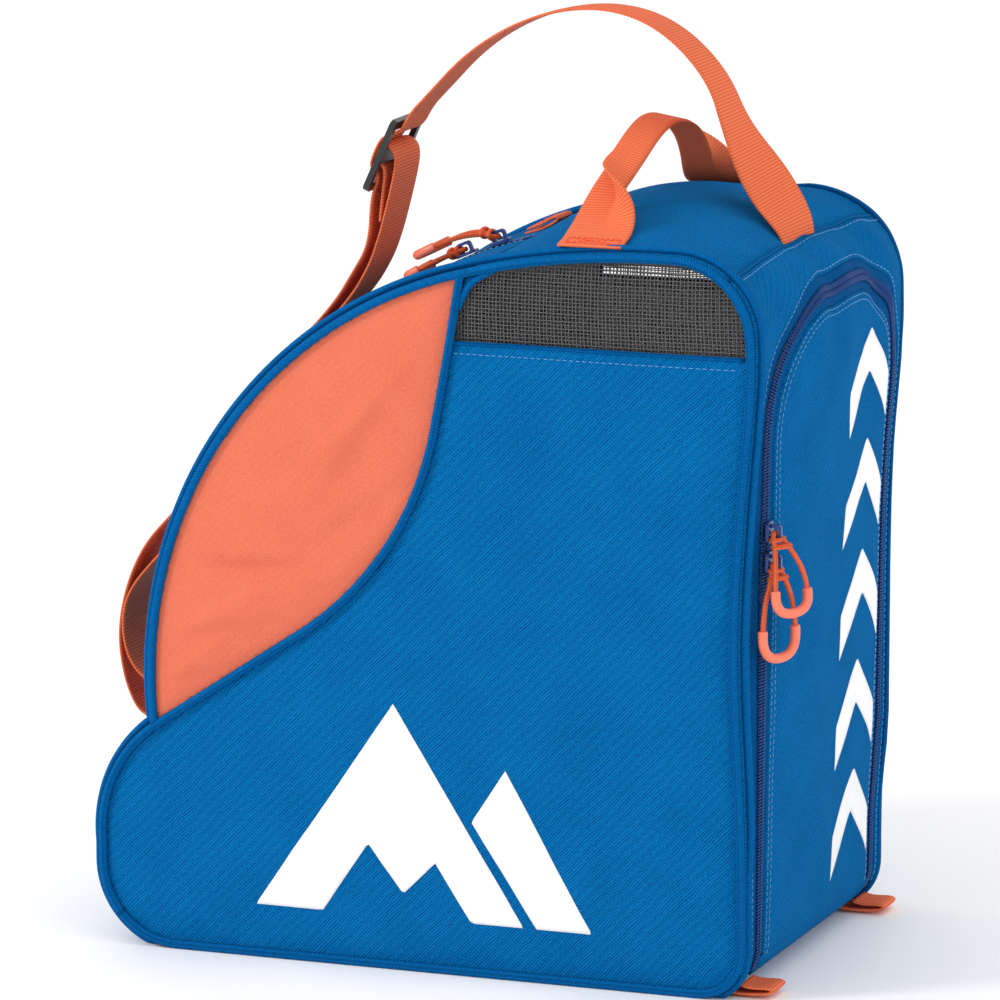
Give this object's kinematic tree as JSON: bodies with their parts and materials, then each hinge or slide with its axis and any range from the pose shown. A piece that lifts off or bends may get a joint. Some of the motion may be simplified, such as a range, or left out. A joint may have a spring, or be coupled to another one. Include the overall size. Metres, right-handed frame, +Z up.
{
  "type": "ski boot bag",
  "caption": "Boot-shaped fabric bag with a heel flap and a front zip, mesh windows, grab handle, shoulder strap with tri-glide, and corded zip pulls.",
  "frame": {"origin": "centre of the base, on the ground", "axes": "+Z up, +X towards the heel opening (the toe points to -X), -Y is the bag's left side"},
  "size_m": [0.4615, 0.255, 0.551],
  "materials": {
    "blue_fabric": "woven Oxford polyester, dull",
    "orange_fabric": "smooth coated woven polyester, dull",
    "piping": "fabric-covered cord piping",
    "zip_tape": "woven zip tape",
    "zip_coil": "nylon coil",
    "black_mesh": "open woven screen mesh",
    "webbing": "ribbed polypropylene webbing",
    "white_print": "screen-printed ink film",
    "buckle_plastic": "moulded acetal, black",
    "slider_metal": "die-cast, painted blue",
    "pull_cord": "braided cord",
    "grip_plastic": "flexible moulded tube",
    "board": "stiff sheet"
  },
  "bodies": {
    "bag": {"base_board": "board", "base_panel": "blue_fabric", "front_gusset_left": "blue_fabric", "front_gusset_right": "blue_fabric", "front_piping_left": "piping", "front_piping_right": "piping", "front_zip_coil_left": "zip_coil", "front_zip_coil_right": "zip_coil", "front_zip_tape_left": "zip_tape", "front_zip_tape_right": "zip_tape", "grab_handle_end_left": "webbing", "grab_handle_end_right": "webbing", "heel_frame": "blue_fabric", "heel_zip_coil_outer": "zip_coil", "heel_zip_tape_outer": "zip_tape", "mesh_window_left": "black_mesh", "mesh_window_right": "black_mesh", "side_panel_left": "blue_fabric", "side_panel_right": "blue_fabric", "side_piping_left": "piping", "side_piping_right": "piping", "side_print_left": "white_print", "side_print_right": "white_print", "toe_gusset": "blue_fabric", "toe_ring": "buckle_plastic", "toe_ring_tab": "webbing", "toe_side_panel_left": "orange_fabric", "toe_side_panel_right": "orange_fabric", "top_panel": "blue_fabric", "zip_tab_front": "webbing", "zip_tab_heel_left": "webbing", "zip_tab_heel_right": "webbing"},
    "flap": {"heel_flap": "blue_fabric", "heel_zip_tape_inner": "zip_tape", "heel_zip_coil_inner": "zip_coil", "heel_print": "white_print"},
    "handle": {"grab_handle": "webbing"},
    "strap": {"shoulder_strap": "webbing", "strap_buckle": "buckle_plastic"},
    "heel_slider_upper": {"heel_slider_upper": "slider_metal"},
    "heel_pull_upper": {"heel_pull_upper_cord": "pull_cord", "heel_pull_upper_grip": "grip_plastic"},
    "heel_slider_lower": {"heel_slider_lower": "slider_metal"},
    "heel_pull_lower": {"heel_pull_lower_cord": "pull_cord", "heel_pull_lower_grip": "grip_plastic"},
    "front_slider_upper": {"front_slider_upper": "slider_metal"},
    "front_pull_upper": {"front_pull_upper_cord": "pull_cord", "front_pull_upper_grip": "grip_plastic"},
    "front_slider_lower": {"front_slider_lower": "slider_metal"},
    "front_pull_lower": {"front_pull_lower_cord": "pull_cord", "front_pull_lower_grip": "grip_plastic"}
  },
  "joints": [
    {"name": "flap_fold", "type": "hinge", "parent": "bag", "child": "flap", "pos_m": [0.1975, 0, 0.014], "axis": [0, 1, 0], "range_deg": [0, 85]},
    {"name": "heel_zip_upper", "type": "slide", "parent": "flap", "child": "heel_slider_upper", "axis": [0.011, 0, 0.9999], "range_m": [0, 0.04]},
    {"name": "heel_zip_lower", "type": "slide", "parent": "flap", "child": "heel_slider_lower", "axis": [0.011, 0, 0.9999], "range_m": [-0.18, 0]},
    {"name": "heel_pull_upper_swing", "type": "hinge", "parent": "heel_slider_upper", "child": "heel_pull_upper", "pos_m": [0.2087, -0.104, 0.27], "axis": [0, -1, 0], "range_deg": [0, 100]},
    {"name": "heel_pull_lower_swing", "type": "hinge", "parent": "heel_slider_lower", "child": "heel_pull_lower", "pos_m": [0.2087, -0.104, 0.2525], "axis": [0, -1, 0], "range_deg": [0, 100]},
    {"name": "front_zip_upper", "type": "hinge", "parent": "bag", "child": "front_slider_upper", "pos_m": [0.091, 0, 0.162], "axis": [0, -1, 0], "range_deg": [-2.5, 0]},
    {"name": "front_zip_lower", "type": "hinge", "parent": "bag", "child": "front_slider_lower", "pos_m": [0.091, 0, 0.162], "axis": [0, -1, 0], "range_deg": [0, 50]},
    {"name": "front_pull_upper_swing", "type": "hinge", "parent": "front_slider_upper", "child": "front_pull_upper", "pos_m": [0.0036, 0, 0.4115], "axis": [0, -1, 0], "range_deg": [-100, 0]},
    {"name": "front_pull_lower_swing", "type": "hinge", "parent": "front_slider_lower", "child": "front_pull_lower", "pos_m": [-0.0174, 0, 0.4032], "axis": [0, -1, 0], "range_deg": [-100, 0]},
    {"name": "handle_fold", "type": "hinge", "parent": "bag", "child": "handle", "pos_m": [0.1035, 0, 0.44], "axis": [0, 1, 0], "range_deg": [-40, 40]},
    {"name": "strap_swing", "type": "hinge", "parent": "bag", "child": "strap", "pos_m": [-0.206, 0, 0.121], "axis": [0.7931, 0, 0.6091], "range_deg": [-12, 12]}
  ],
  "couplings": [
    {"joint": "heel_pull_lower_swing", "follows": "heel_pull_upper_swing", "ratio": 1},
    {"joint": "front_pull_lower_swing", "follows": "front_pull_upper_swing", "ratio": 1}
  ]
}
